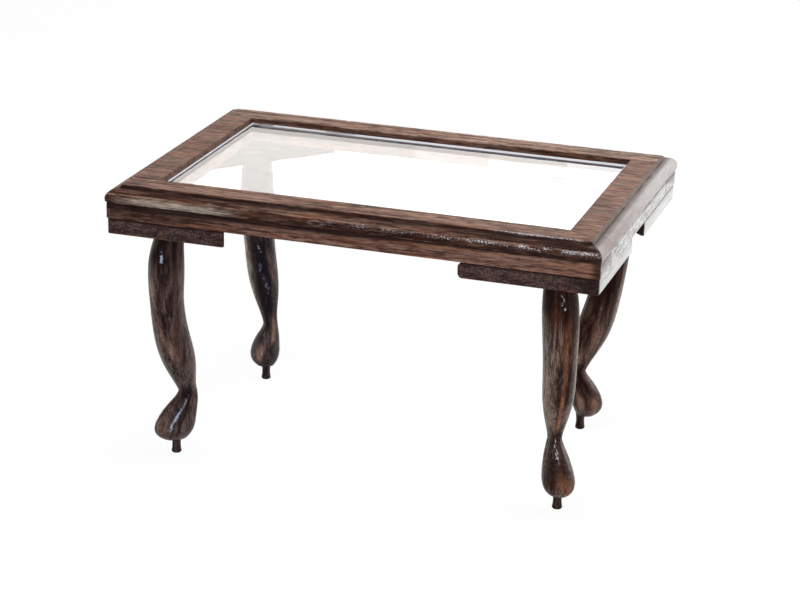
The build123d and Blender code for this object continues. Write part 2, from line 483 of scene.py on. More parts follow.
def sawn_prism(node, outline, axis, arris, seed, step, shadow_line_depth, dirt_and_shade, trim=None):
    """A sawn piece of wood: an outline with rounded corners carried along an axis, each point
    set back along its normal by the noise of saw marks and fuzz, and by a quarter-round at
    both ends. Ends are flat caps. It is dark down to the given depth below its top, a dark
    joint and a painted shadow line under the part above, and elsewhere as dark as the given
    function says of each place, with dirt and painted shade; a trim, if given, is a function
    that cuts the points back further."""
    lower, upper = box_mm(node)
    low, high = lower[axis], upper[axis]
    loop, normal, s = rounded_loop(outline, arris, step)
    near = arris * (1 - np.cos(np.linspace(0, pi / 2, 5)))
    middle = spaced(low + arris, high - arris, step * 2)[1:-1]
    stations = np.concatenate([low + near, middle, high - near[::-1]])
    to_end = np.minimum(stations - low, high - stations)
    drawn_in = edge_drop(to_end, arris)[:, None]

    def noise(width, length, offset):
        return noise_over(s[None, :], stations[:, None], width, length, seed + offset)

    depth = SAW_DEPTH * (1 + noise(0.35, 1.6, 0)) + FUZZ_DEPTH * (1 + noise(0.3, 0.3, 1)) + drawn_in
    across = loop[None, :, :] - normal[None, :, :] * depth[:, :, None]
    others = [i for i in range(3) if i != axis]
    points = np.empty((*depth.shape, 3))
    points[..., axis] = stations[:, None]
    points[..., others] = across
    if trim:
        points = trim(points)
    quads, caps = tube_faces(*depth.shape, flip=axis == 1)
    x, y, z = np.moveaxis(points, -1, 0)
    patchy = ease(noise(3, 3, 2), -0.2, 0.5)
    worn = 0.5 * patchy * hump(z, lower[2], 0.25)
    # on the right-hand end the dark seam and painted shadow line shows only towards the back,
    # and reaches deeper
    on_end = ease(x, 49.6, 50.0)
    below_top = (upper[2] - z) / (1 + on_end)
    shown = 1 - on_end * (1 - ease(y, 0, 4))
    seam_and_shadow = (1 - ease(below_top, shadow_line_depth * 0.4, shadow_line_depth)) * shown
    stain_and_shade_mark = np.maximum(seam_and_shadow, dirt_and_shade(x, y, z))
    marks = {"wear_and_sheen": 0 * z, "rubbed": worn, "stain_and_shade_mark": stain_and_shade_mark, "painted_glint": 0 * z}
    return make_piece(node, points, quads, caps, marks)


def apron_strip(node, seed):
    """A strip of the apron, dark with painted shadow right under the frame, and darker along the
    left of its front and at the front right corner."""
    low, high = box_mm(node)
    axis = 0 if high[0] - low[0] > high[1] - low[1] else 1
    other = 1 - axis
    across, up = (low[other], high[other]), (low[2], high[2])
    outline = [(across[0], up[0]), (across[1], up[0]), (across[1], up[1]), (across[0], up[1])]

    def dirt_and_shade(x, y, z):
        under = high[2] - z
        # a band of painted shadow under the frame, deeper towards the left
        band = 1 - ease(under, 0.4, 0.5 + 1.1 * (1 - ease(x, -15, 36)))
        near_top = 1.6 * band + 0.7 * (1 - ease(under, 0.6, 2.8)) * (1 - ease(x, -10, 24))
        to_left = 1 - ease(x, -46, -16)
        front = 1 - ease(y, -33, -32.6)
        corner = ease(x, 48.2, 49.8)
        return np.clip(0.5 * near_top + front * (0.55 * to_left + 0.8 * corner), 0, 1)

    return sawn_prism(
        node, outline, axis, STRIP_ARRIS, seed, 0.16, 0.5, dirt_and_shade)


def node_triangles(node):
    """The corners of a solid's triangles, in millimetres."""
    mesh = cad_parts[node].data
    places = np.empty(len(mesh.vertices) * 3)
    mesh.vertices.foreach_get("co", places)
    places = places.reshape(-1, 3) / MM
    mesh.calc_loop_triangles()
    corners = np.empty(len(mesh.loop_triangles) * 3, dtype=np.int32)
    mesh.loop_triangles.foreach_get("vertices", corners)
    return places[corners].reshape(-1, 3, 3)


def level_cut(triangles, height):
    """Where a level plane cuts the edges of triangles, as points in plan: on each edge that
    crosses it, at the share t of the edge where its height is the plane's."""
    starts = triangles.reshape(-1, 3)
    ends = np.roll(triangles, -1, axis=1).reshape(-1, 3)
    crossing = (starts[:, 2] > height) != (ends[:, 2] > height)
    a, b = starts[crossing], ends[crossing]
    t = (height - a[:, 2:]) / (b[:, 2:] - a[:, 2:])
    return (a + t * (b - a))[:, :2]


def ring_about(points, angles):
    """The middle of a cut's box, and the cut's reach from there at each angle, drawn
    straight between the reaches of its points in the order of their facing."""
    middle = (points.min(axis=0) + points.max(axis=0)) / 2
    away = points - middle
    facing = np.arctan2(away[:, 1], away[:, 0])
    reach = np.hypot(away[:, 0], away[:, 1])
    order = np.argsort(facing)
    return middle, np.interp(angles, facing[order], reach[order], period=2 * pi)


def corner_block(corner, seed):
    """A triangular block, as its solid is cut above its blind hole, with its thin end along the
    front or back rounded as seen from there. Its inner face is nearly black with painted shade."""
    node = f"block_{corner}"
    low, high = box_mm(node)
    cut = level_cut(node_triangles(node), high[2] - 0.7)
    middle = cut.mean(axis=0)
    facing = np.arctan2(cut[:, 1] - middle[1], cut[:, 0] - middle[0])
    outline = cut[np.argsort(facing)]
    keep = np.hypot(*(outline - np.roll(outline, 1, axis=0)).T) > 1e-4
    radius = TIP_ROUNDING[corner]

    toward_middle = -np.sign(low[:2] + high[:2])
    corner_point = np.where(toward_middle < 0, high[:2], low[:2])

    def dirt_and_shade(x, y, z):
        from_x, from_y = x - corner_point[0], y - corner_point[1]
        away = from_x * toward_middle[0] + from_y * toward_middle[1]
        inside = ease(np.minimum(abs(from_x), abs(from_y)), 0.2, 0.5)
        in_front = (1 - ease(y, -33, -32.6)) * ease(x, 42, 49.5)
        # nearly black on the inner face: painted shade; darker on the front towards the right
        return np.maximum(0.98 * inside * ease(away, 15, 18), 0.7 * in_front)

    def round_tip(points):
        to_face = np.minimum(points[..., 2] - low[2], high[2] - points[..., 2])
        back = edge_drop(to_face, radius)
        if low[0] + high[0] > 0:
            points[..., 0] = np.maximum(points[..., 0], low[0] + back)
        else:
            points[..., 0] = np.minimum(points[..., 0], high[0] - back)
        return points

    return sawn_prism(
        node, outline[keep], 2, BLOCK_ARRIS, seed, 0.2, 0.3, dirt_and_shade, round_tip)


# ---------------- legs


# Patches on each leg, by kind: facing in degrees from the right-hand end of the table, share
# up the leg above its stub, width in degrees, height as a share, and strength. The pale ones
# are worn wood with painted sheen along the legs' sides, the dark ones stain, with painted
# shade where they lie high on the legs under the table, and the glint is painted
LEG_PATCHES = {
    "front_left": {
        "rubbed": [
            (-117, 0.74, 11, 0.055, 0.8), (-78, 0.46, 12, 0.045, 0.8), (-98, 0.53, 8, 0.04, 0.6),
            (-128, 0.43, 10, 0.06, 0.4), (-115, 0.08, 22, 0.04, 0.4),
        ],
        "wear_and_sheen": [(-150, 0.42, 15, 0.18, 0.35)],
        "stain_and_shade_mark": [
            (-75, 0.93, 70, 0.05, 1), (-35, 0.6, 24, 0.3, 0.6), (-60, 0.22, 60, 0.04, 0.8),
            (-55, 0.14, 22, 0.07, 0.9),
        ],
    },
    "front_right": {
        "rubbed": [
            (-55, 0.6, 6, 0.12, 0.8), (-60, 0.4, 6, 0.08, 0.8), (-66, 0.33, 5, 0.03, 0.8),
            (-50, 0.76, 9, 0.05, 0.4), (-50, 0.06, 20, 0.035, 0.45),
        ],
        "wear_and_sheen": [(-128, 0.4, 24, 0.26, 0.35), (0, 0.5, 12, 0.26, 0.7)],
        "stain_and_shade_mark": [
            (-75, 0.91, 70, 0.08, 1), (-30, 0.78, 26, 0.15, 0.8), (-72, 0.5, 7, 0.18, 0.8),
            (-45, 0.42, 8, 0.12, 0.8), (-66, 0.24, 60, 0.045, 0.9), (-110, 0.12, 30, 0.09, 0.9),
            (-40, 0.14, 14, 0.05, 0.7),
        ],
        "painted_glint": [(-70, 0.2, 9, 0.05, 0.9)],
    },
    "back_left": {
        "wear_and_sheen": [(-146, 0.48, 26, 0.2, 1.6)],
        "rubbed": [
            (-42, 0.23, 10, 0.03, 1), (-42, 0.16, 10, 0.03, 0.9),
            (-92, 0.075, 13, 0.035, 1),
        ],
        "stain_and_shade_mark": [
            (-80, 0.52, 48, 0.24, 1), (-60, 0.3, 60, 0.08, 0.7), (-75, 0.01, 60, 0.035, 1),
        ],
    },
    "back_right": {
        "rubbed": [
            (-62, 0.4, 14, 0.08, 0.3), (-95, 0.28, 12, 0.05, 0.5), (-98, 0.07, 14, 0.04, 0.6),
            (-45, 0.06, 14, 0.04, 0.6),
        ],
        "wear_and_sheen": [(-12, 0.52, 12, 0.18, 0.6)],
        "stain_and_shade_mark": [
            (-90, 0.68, 70, 0.18, 1), (-132, 0.42, 38, 0.2, 1),
            (-60, 0.22, 70, 0.045, 1), (-105, 0.12, 70, 0.12, 0.85),
        ],
    },
}

# Runs of varnish and squeezed-out glue on the legs, from the top down: facing and share up
# the leg of each end, half width in degrees, how far each stands up in millimetres, and how
# bright the painted highlight along it is
LEG_RUNS = {
    "front_left": [
        (-88, 0.93, -84, 0.885, 7, 0.12, 1),
        (-62, 0.215, -72, 0.14, 9, 0.1, 0.9),
        (-72, 0.14, -84, 0.06, 9, 0.1, 0.9),
    ],
    "front_right": [
        (-72, 0.93, -64, 0.915, 4, 0.16, 1),
        (-64, 0.91, -70, 0.9, 4, 0.16, 1),
        (-70, 0.895, -62, 0.875, 4, 0.16, 1),
    ],
    "back_left": [
        (-74, 0.605, -64, 0.575, 9, 0.05, 0.5),
        (-76, 0.52, -58, 0.38, 11, 0.03, 0.45),
        (-42, 0.34, -41, 0.337, 5, 0.12, 1),
    ],
    "back_right": [],
}


def angle_from(turn, facing):
    """How far round the leg a facing is, in degrees, from -180 to 180."""
    return (np.degrees(turn) - facing + 180) % 360 - 180


def run_of_varnish(turn, share, run):
    """1 along a short line on the leg's surface, and falling off as a hump beside it and past
    its ends."""
    start_facing, start_share, end_facing, end_share, half_width = run[:5]
    t = np.clip((share - start_share) / (end_share - start_share), 0, 1)
    aside = angle_from(turn, 0) - (start_facing + t * (end_facing - start_facing))
    beyond = np.maximum(np.maximum(share - start_share, end_share - share), 0)
    return hump(aside, 0, half_width) * hump(beyond, 0, 0.006)


def noise_round(turn, level, width, height, seed):
    """Noise over a leg, with lumps of the given width and height, taken on a circle round it
    so that it meets itself."""
    round_x = np.broadcast_to(LEG_RADIUS * np.cos(turn) / width, level.shape)
    round_y = np.broadcast_to(LEG_RADIUS * np.sin(turn) / width, level.shape)
    return lattice_noise(np.stack([round_x, round_y, level / height], axis=-1), seed)


def leg_marks(corner, turn, share, above_stub, wrapped):
    """Marks on a leg: faint rubbed streaks, clouds of stain, painted shade that darkens the leg
    towards the block, and the leg's own patches with ragged edges. Stubs are dark."""
    ragged = 0.45 + 0.75 * ease(wrapped(0.5, 2.4, 4), -0.5, 0.5)
    specks = ease(wrapped(0.22, 0.35, 5), 0.05, 0.4)
    clouds = ease(wrapped(2.0, 9, 7), -0.1, 0.5)
    marks = {
        "wear_and_sheen": 0 * clouds,
        "rubbed": 0.15 * ease(wrapped(0.7, 7, 3), 0.1, 0.7) * above_stub,
        # darker towards the block: painted shade under the table
        "stain_and_shade_mark": 0.55 * ease(share, 0.7, 0.92) + 0.5 * ease(-share, 0.0, 0.02) + 0.55 * clouds,
        "painted_glint": 0 * clouds,
    }
    for mark, patches in LEG_PATCHES[corner].items():
        broken = specks if mark == "painted_glint" else ragged
        for facing, middle_share, width, tall, strength in patches:
            patch = hump(angle_from(turn, facing), 0, width) * hump(share, middle_share, tall)
            marks[mark] = marks[mark] + strength * np.clip(1.5 * patch * broken, 0, 1)
    return marks


def cabriole_leg(corner, seed):
    """A leg, as one ring at each height from the stub up to the block: at each angle it
    reaches as far from the middle of the solid's level cut as the cut does, plus soft lumps,
    the knife's facets, which are a sine wave that winds round the leg, and raised runs of
    varnish, less open pores and the pits in the foot."""
    node = f"leg_{corner}"
    triangles = node_triangles(node)
    block_bottom = box_mm(f"block_{corner}")[0][2]
    angles = np.linspace(-pi, pi, LEG_COLUMNS, endpoint=False)
    heights = np.concatenate([
        [0.002, 0.03, 0.08, 0.16, 0.28],
        spaced(0.4, SOLE - 0.002, 0.25),
        spaced(SOLE + 0.002, block_bottom - 0.002, LEG_STEP),
    ])
    rings = [ring_about(level_cut(triangles, height), angles) for height in heights]
    middles = np.array([ring[0] for ring in rings])
    reaches = np.array([ring[1] for ring in rings])
    share = ((heights - SOLE) / (block_bottom - SOLE))[:, None]
    turn = angles[None, :]
    above_stub = ease(share, 0.0, 0.03)
    level = np.broadcast_to(heights[:, None], (len(heights), LEG_COLUMNS))

    def wrapped(width, height, offset):
        return noise_round(turn, level, width, height, seed + offset)

    # 0.64 is about the middle height of |sin|, so the facets leave the leg as thick as it was
    facets = np.abs(np.sin(FACETS / 2 * turn + 2.2 * share + seed)) - 0.64
    pores = ease(wrapped(0.16, 1.4, 1), 0.35, 0.7)
    on_foot = 1 - ease(share, 0.16, 0.24)
    pitted = ease(wrapped(0.3, 0.35, 2), 0.1, 0.6)
    rise = LUMP_HEIGHT * wrapped(1.1, 4.5, 0) + FACET_HEIGHT * facets
    rise = rise - PORE_DEPTH * pores - PIT_DEPTH * pitted * on_foot
    lumpy = 0.4 + 0.6 * ease(wrapped(0.4, 0.8, 6), -0.5, 0.1)
    # each run also carries a painted highlight, as pale as its table says
    pale = 0 * level
    for run in LEG_RUNS[corner]:
        line = run_of_varnish(turn, share, run) * lumpy
        rise = rise + run[5] * line
        pale = np.maximum(pale, run[6] * line)
    reaches = reaches + above_stub * rise
    x = middles[:, :1] + reaches * np.cos(turn)
    y = middles[:, 1:] + reaches * np.sin(turn)
    # the lowest and highest rings lie just inside the solid, and close it at its true ends
    z = np.where(level < 0.01, 0.0, level)
    z = np.where(level > block_bottom - 0.01, block_bottom, z)
    points = np.stack([x, y, z], axis=-1)
    quads, caps = tube_faces(*level.shape)
    marks = leg_marks(corner, turn, share, above_stub, wrapped)
    marks["painted_glint"] = marks["painted_glint"] + pale
    marks = {mark: np.clip(values, 0, 1) for mark, values in marks.items()}
    return make_piece(node, points, quads, caps, marks)


# ---------------- materials


def add(tree, kind, inputs=None, **settings):
    """A shader node with its settings, its inputs set to numbers or joined to sockets."""
    node = tree.nodes.new("ShaderNode" + kind)
    for setting, value in settings.items():
        setattr(node, setting, value)
    for socket, value in (inputs or {}).items():
        if isinstance(value, bpy.types.NodeSocket):
            tree.links.new(value, node.inputs[socket])
        else:
            node.inputs[socket].default_value = value
    return node


def new_material(name):
    material = bpy.data.materials.new(name)
    material.use_nodes = True
    material.node_tree.nodes.clear()
    return material, material.node_tree


def blended(tree, factor, first, second):
    """A colour mixed from first to second by the factor."""
    def colour(value):
        return value if isinstance(value, bpy.types.NodeSocket) else (*value, 1)

    node = add(tree, "Mix", {0: factor, 6: colour(first), 7: colour(second)}, data_type="RGBA")
    return node.outputs[2]


def maths(tree, operation, first, second=0.0, third=0.0, clamp=False):
    node = add(tree, "Math", {0: first, 1: second, 2: third}, operation=operation, use_clamp=clamp)
    return node.outputs[0]


def mixed(tree, factor, first, second):
    """A shader mixed from first to second by the factor."""
    return add(tree, "MixShader", {0: factor, 1: first, 2: second}).outputs[0]


def product(tree, value, *factors, clamp=False):
    for factor in factors:
        value = maths(tree, "MULTIPLY", value, factor, clamp=clamp)
    return value


def linear(tree, value, slope, start, clamp=False):
    """The value times the slope, plus the start."""
    return maths(tree, "MULTIPLY_ADD", value, slope, start, clamp)


def axes_of(tree, coordinates):
    """The sockets x, y and z of one of the texture coordinates."""
    place = add(tree, "TexCoord").outputs[coordinates]
    return add(tree, "SeparateXYZ", {0: place}).outputs


def stretched(tree, grain, along, across, start):
    """Object coordinates in lumps of the given lengths along and across the grain."""
    sizes = [across, across, across]
    sizes[grain] = along
    place = add(tree, "TexCoord").outputs["Object"]
    scale = tuple(1 / (size * MM) for size in sizes)
    return add(tree, "Mapping", {"Vector": place, "Location": start, "Scale": scale}).outputs[0]


def spread(tree, value, low, high):
    """0 below low, 1 above high and a smooth step between."""
    return add(tree, "MapRange", {"Value": value, "From Min": low, "From Max": high},
               interpolation_type="SMOOTHSTEP").outputs[0]


def past(tree, place, start, end):
    """0 before start, 1 past end, both in millimetres, and a smooth step between."""
    return spread(tree, place, start * MM, end * MM)


def figure(tree, grain, along, across, start, low, high, detail=2.0):
    """Noise stretched along the grain, spread from 0 at low to 1 at high."""
    where = stretched(tree, grain, along, across, start)
    noise = add(tree, "TexNoise", {"Vector": where, "Scale": 1.0, "Detail": detail})
    return spread(tree, noise.outputs[0], low, high)


def wood_figure(tree, grain, start, tones, look):
    """The wood's own colour, before wear: growth bands, streaks, fibres and mottling in three
    tones, with redder streaks among them. Returned with its streaks and its fibres."""
    dark, middle, light = tones
    along, across = look["length"], look["coarse"]
    bands = figure(tree, grain, 34 * along, 1.3 * across, start, 0.38, 0.62)
    streaks = figure(tree, grain, 9 * along, 0.34 * across, start, 0.38, 0.62, detail=3.0)
    fibres = figure(tree, grain, 2.6 * along, 0.14 * across, start, 0.34, 0.66)
    mottle = figure(tree, grain, 3.2 * along, 0.5 * across, start, 0.4, 0.62)
    reds = figure(tree, grain, 12 * along, 0.9 * across, start, 0.48, 0.66)
    shade = linear(tree, streaks, 0.33, product(tree, bands, look["bands"]))
    shade = linear(tree, fibres, 0.67 - look["bands"], shade)
    shade = linear(tree, mottle, 0.3, maths(tree, "SUBTRACT", shade, 0.15))
    colour = blended(tree, spread(tree, shade, 0.22, 0.5), dark, middle)
    colour = blended(tree, spread(tree, shade, 0.5, 0.78), colour, light)
    colour = blended(tree, product(tree, reds, look["red"]), colour, COLOURS["rubbed"])
    return colour, streaks, fibres


def stained_wood(name, grain, seed, tones, look):
    """Dark stained, varnished wood: its figure stretched along the grain, open pores, orange
    brown where the stain has rubbed through, pale where the edge is worn through and where
    sheen is painted, near black with stain and painted shade, pale painted glints, and pale,
    pitted end grain at the right end of the table, with dust and painted sheen."""
    look = {**PLAIN_LOOK, **look}
    material, tree = new_material(name)
    start = tuple(np.random.default_rng(seed).uniform(-40, 40, 3))
    across = look["coarse"]

    def mark(attribute):
        return add(tree, "Attribute", attribute_name=attribute).outputs["Fac"]

    colour, streaks, fibres = wood_figure(tree, grain, start, tones, look)
    # near black with stain and painted shade
    stained_and_shaded = product(tree, mark("stain_and_shade_mark"), linear(tree, streaks, -0.12, 1.0), clamp=True)
    colour = blended(tree, stained_and_shaded, colour, look["stain_and_shade"])
    ragged = product(tree, mark("rubbed"), linear(tree, fibres, 0.7, 0.4), clamp=True)
    colour = blended(tree, ragged, colour, look["worn"])
    # pale where worn, and painted sheen along the legs' sides
    scuffs_and_sheen = product(tree, mark("wear_and_sheen"), linear(tree, fibres, 0.7, 0.35), clamp=True)
    colour = blended(tree, scuffs_and_sheen, colour, COLOURS["wear_and_sheen"])
    pore = figure(tree, grain, 1.5 * across, 0.15 * across, start, 0.6, 0.68, detail=1.0)
    colour = blended(tree, product(tree, pore, look["pores"]), colour, COLOURS["deep"])
    # pale faces at the right end: dust and painted sheen
    dust_and_sheen, pitted, dust_and_sheen_colour = end_grain(tree, start)
    dust_and_sheen = product(tree, dust_and_sheen, linear(tree, stained_and_shaded, -0.9, 1.0))
    colour = blended(tree, dust_and_sheen, colour, dust_and_sheen_colour)
    holes = product(tree, pitted, look["pits"], dust_and_sheen)
    colour = blended(tree, holes, colour, COLOURS["deep"])
    # pale painted glints
    where = stretched(tree, grain, 0.26, 0.18, start)
    grit = add(tree, "TexNoise", {"Vector": where, "Scale": 1.0, "Detail": 1.0}).outputs[0]
    glints = spread(tree, linear(tree, mark("painted_glint"), 0.5, grit), 0.72, 1.0)
    colour = blended(tree, glints, colour, look["glint_colour"])

    roughness = linear(tree, fibres, 0.1, look["rough"])
    roughness = linear(tree, stained_and_shaded, -0.12, roughness)
    dulled = maths(tree, "MAXIMUM", scuffs_and_sheen, dust_and_sheen)
    roughness = linear(tree, dulled, 0.25, roughness, clamp=True)
    speckle = figure(tree, grain, 0.3, 0.22, start, 0.42, 0.66, detail=1.0)
    relief = linear(tree, speckle, look["speckle"], maths(tree, "SUBTRACT", fibres, pore))
    bump = add(tree, "Bump", {"Height": relief, "Strength": 1.0, "Distance": look["relief"] * MM})
    specular = look["specular"]
    if look["gloss"]:
        specular = linear(tree, stained_and_shaded, look["gloss"], specular)
    shader = add(tree, "BsdfPrincipled", {
        "Base Color": colour, "Roughness": roughness, "Normal": bump.outputs[0],
        "Specular IOR Level": specular,
    })
    add(tree, "OutputMaterial", {"Surface": shader.outputs[0]})
    return material


def end_grain(tree, start):
    """How pale the faces at the right end of the table are, with dust and painted sheen from the
    light on the right, leaving out those that look to the front or back; the pits in them,
    which are thickest on the apron and towards the front; and the colour of the dust and sheen,
    which is whiter lower down and towards the back, and darker on the ridge along the top."""
    x, y, z = axes_of(tree, "Object")
    outer = past(tree, x, 47.5, 48.1)
    facing = axes_of(tree, "Normal")[1]
    sideways = spread(tree, maths(tree, "ABSOLUTE", facing), 0.25, 0.6)
    dust_and_sheen = product(tree, outer, maths(tree, "SUBTRACT", 1.0, sideways))
    backward = past(tree, y, -25, 15)
    ridge = past(tree, z, 58.9, 59.3)

    specks = figure(tree, ALONG_Y, 0.8, 0.26, start, 0.42, 0.7, detail=1.0)
    blots = figure(tree, ALONG_Y, 2.6, 0.6, start, 0.36, 0.66)
    rise = past(tree, z, 51.0, 53.4)
    fall = past(tree, z, 56.6, 57.4)
    band = linear(tree, maths(tree, "SUBTRACT", rise, fall), 0.8, 0.2)
    band = linear(tree, ridge, 0.7, band)
    pits = linear(tree, specks, 0.75, product(tree, blots, 0.45))
    pits = product(tree, pits, linear(tree, backward, -0.25, 1.0), band)

    smears = figure(tree, ALONG_Y, 6.0, 0.9, start, 0.35, 0.65)
    height = past(tree, z, 55.8, 57.6)
    tone = linear(tree, smears, 0.25, product(tree, height, 0.85), clamp=True)
    tone = product(tree, tone, linear(tree, backward, -0.35, 1.0))
    dust_and_sheen_colour = blended(tree, tone, COLOURS["whitest_dust_and_sheen"], COLOURS["dust_and_sheen_colour"])
    dust_and_sheen_colour = blended(tree, ridge, dust_and_sheen_colour, COLOURS["ridge_dust_and_sheen"])
    return dust_and_sheen, pits, dust_and_sheen_colour


def within(tree, place, low, high):
    """1 between low and high, in millimetres, with edges a tenth of a millimetre wide."""
    rise = past(tree, place, low - 0.1, low)
    fall = past(tree, place, high, high + 0.1)
    return maths(tree, "SUBTRACT", rise, fall, clamp=True)


def clear_pane():
    """A clear pane: smooth and bright at its surfaces, a little hazy where it is smudged and
    faintly wavy, with a painted highlight along its margin and a painted dark line inside it,
    the reflection of the lip above. Light from lamps goes straight through it."""
    material, tree = new_material("clear pane")
    smudge = figure(tree, ALONG_X, 14, 14, (3, 5, 1), 0.45, 0.75)
    waves = figure(tree, ALONG_X, 12, 12, (2, 8, 1), 0.2, 0.8, detail=1.0)
    bent = add(tree, "Bump", {"Height": waves, "Strength": 1.0, "Distance": 0.018 * MM})
    glass = add(tree, "BsdfPrincipled", {
        "Base Color": (0.97, 0.985, 1.0, 1), "Roughness": linear(tree, smudge, 0.05, 0.01),
        "IOR": 1.49, "Transmission Weight": 1.0, "Normal": bent.outputs[0],
    }).outputs[0]
    x, y, z = axes_of(tree, "Object")
    to_end = maths(tree, "SUBTRACT", PANE_HALF_LENGTH * MM, maths(tree, "ABSOLUTE", x))
    to_side = maths(tree, "SUBTRACT", PANE_HALF_WIDTH * MM, maths(tree, "ABSOLUTE", y))
    on_top = past(tree, z, PANE_TOP - 0.2, PANE_TOP - 0.1)
    rightward = past(tree, x, -40, 5)

    end_margin, side_margin = within(tree, to_end, -1, 0.6), within(tree, to_side, -1, 1.7)
    margin = maths(tree, "MAXIMUM", end_margin, side_margin)
    # a pale margin round the pane: a painted highlight of its edge
    painted_edge_highlight = product(tree, margin, linear(tree, rightward, 0.38, 0.22))
    painted_edge_highlight = linear(tree, end_margin, 0.4, painted_edge_highlight)
    blotches = figure(tree, ALONG_X, 7, 4, (9, 2, 4), 0.52, 0.64)
    painted_edge_highlight = product(tree, linear(tree, blotches, 0.07, painted_edge_highlight), on_top)
    edge_highlight_shader = add(tree, "BsdfDiffuse", {"Color": (0.8, 0.8, 0.86, 1)}).outputs[0]
    edged = mixed(tree, painted_edge_highlight, glass, edge_highlight_shader)

    # no painted dark line along the right end
    line = maths(
        tree, "MAXIMUM", within(tree, to_end, 0.65, 1.15), within(tree, to_side, 1.8, 3.3))
    elsewhere = maths(tree, "SUBTRACT", 1.0, past(tree, x, 40.2, 40.6))
    line = product(tree, line, elsewhere, maths(tree, "SUBTRACT", 1.0, margin))
    painted_lip_reflection = product(tree, line, linear(tree, rightward, 0.22, 0.2), on_top)
    lip_reflection_shader = add(tree, "BsdfDiffuse", {"Color": (0.07, 0.06, 0.08, 1)}).outputs[0]
    edged = mixed(tree, painted_lip_reflection, edged, lip_reflection_shader)

    clear = add(tree, "BsdfTransparent", {"Color": (0.95, 0.96, 0.97, 1)}).outputs[0]
    shadow = add(tree, "LightPath").outputs["Is Shadow Ray"]
    add(tree, "OutputMaterial", {"Surface": mixed(tree, shadow, edged, clear)})
    return material


def seen_directly(tree):
    """1 for what the camera sees, also through the pane, and 0 otherwise."""
    path = add(tree, "LightPath").outputs
    return maths(tree, "MAXIMUM", path["Is Camera Ray"], path["Is Transmission Ray"])


# ---------------- the table

RAILS = {"front_rail": -1, "back_rail": 1}
STILES = {"left_stile": -1, "right_stile": 1}
APRONS = ["front_apron", "back_apron", "left_apron", "right_apron"]
CORNERS = ["front_left", "front_right", "back_left", "back_right"]

FRONT_TONES = ((0.036, 0.012, 0.007), (0.165, 0.082, 0.055), (0.350, 0.215, 0.160))
BACK_TONES = ((0.060, 0.024, 0.015), (0.240, 0.140, 0.098), (0.450, 0.300, 0.225))
STILE_TONES = ((0.060, 0.024, 0.017), (0.170, 0.088, 0.062), (0.315, 0.195, 0.148))
APRON_TONES = ((0.060, 0.026, 0.018), (0.150, 0.074, 0.053), (0.225, 0.128, 0.098))
BLOCK_TONES = ((0.026, 0.013, 0.013), (0.054, 0.030, 0.029), (0.105, 0.064, 0.056))
# one wood in four tones, lightest on the front right leg and darkest on the back left: painted shade
# on the legs that stand in less light
LEG_TONES = {
    "front_left": ((0.014, 0.007, 0.006), (0.054, 0.031, 0.028), (0.110, 0.070, 0.063)),
    "front_right": ((0.020, 0.009, 0.006), (0.088, 0.050, 0.038), (0.190, 0.125, 0.102)),
    "back_left": ((0.006, 0.003, 0.004), (0.020, 0.011, 0.012), (0.080, 0.052, 0.046)),
    "back_right": ((0.012, 0.004, 0.003), (0.040, 0.016, 0.011), (0.115, 0.056, 0.038)),
}

# What a wood looks like unless its own look says otherwise: how red its streaks are, its
# colours where it is worn, where stain and painted shade darken it, and of its painted
# glints, how long and coarse its figure is, the share of its tone that is in broad bands,
# how dark its pores and the pits of its end grain are, its roughness, its shine and how much
# more that is where it is darkened, and its relief in millimetres and the share of that in
# fine specks
PLAIN_LOOK = {
    "red": 0.3, "worn": COLOURS["rubbed"], "stain_and_shade": COLOURS["deep"], "glint_colour": COLOURS["painted_glint"],
    "length": 1.0, "coarse": 1.0, "bands": 0.3,
    "pores": 0.6, "pits": 0.55,
    "rough": 0.46, "specular": 0.1, "gloss": 0.0,
    "relief": 0.03, "speckle": 0.0,
}
RAIL_LOOK = {
    "length": 0.9, "coarse": 1.1, "pores": 0.35, "rough": 0.42, "specular": 0.06, "speckle": 1.2,
}
STILE_LOOK = {"red": 0.45, "length": 0.85, "coarse": 0.9, "pores": 0.2}
APRON_LOOK = {"pores": 0.7, "pits": 0.6, "rough": 0.5}
BLOCK_LOOK = {
    "red": 0.08, "length": 0.1, "coarse": 0.75, "pits": 0.5, "rough": 0.66, "speckle": 1.2,
}
# the legs' glints are painted in a bluish white
LEG_LOOK = {
    "red": 0.04, "worn": (0.330, 0.190, 0.140), "glint_colour": (0.420, 0.450, 0.560),
    "coarse": 0.85, "bands": 0.4, "pores": 0.85, "rough": 0.17, "specular": 0.28, "gloss": -0.24,
    "relief": 0.012, "speckle": 1.5,
}
LEG_LOOKS = {
    "front_left": {**LEG_LOOK, "stain_and_shade": (0.012, 0.007, 0.007)},
    "front_right": {**LEG_LOOK, "worn": COLOURS["rubbed"], "glint_colour": COLOURS["painted_glint"]},
    "back_left": {**LEG_LOOK, "stain_and_shade": (0.007, 0.005, 0.008)},
    "back_right": {**LEG_LOOK, "stain_and_shade": (0.011, 0.004, 0.003)},
}


def dress(piece, material):
    piece.data.materials.append(material)


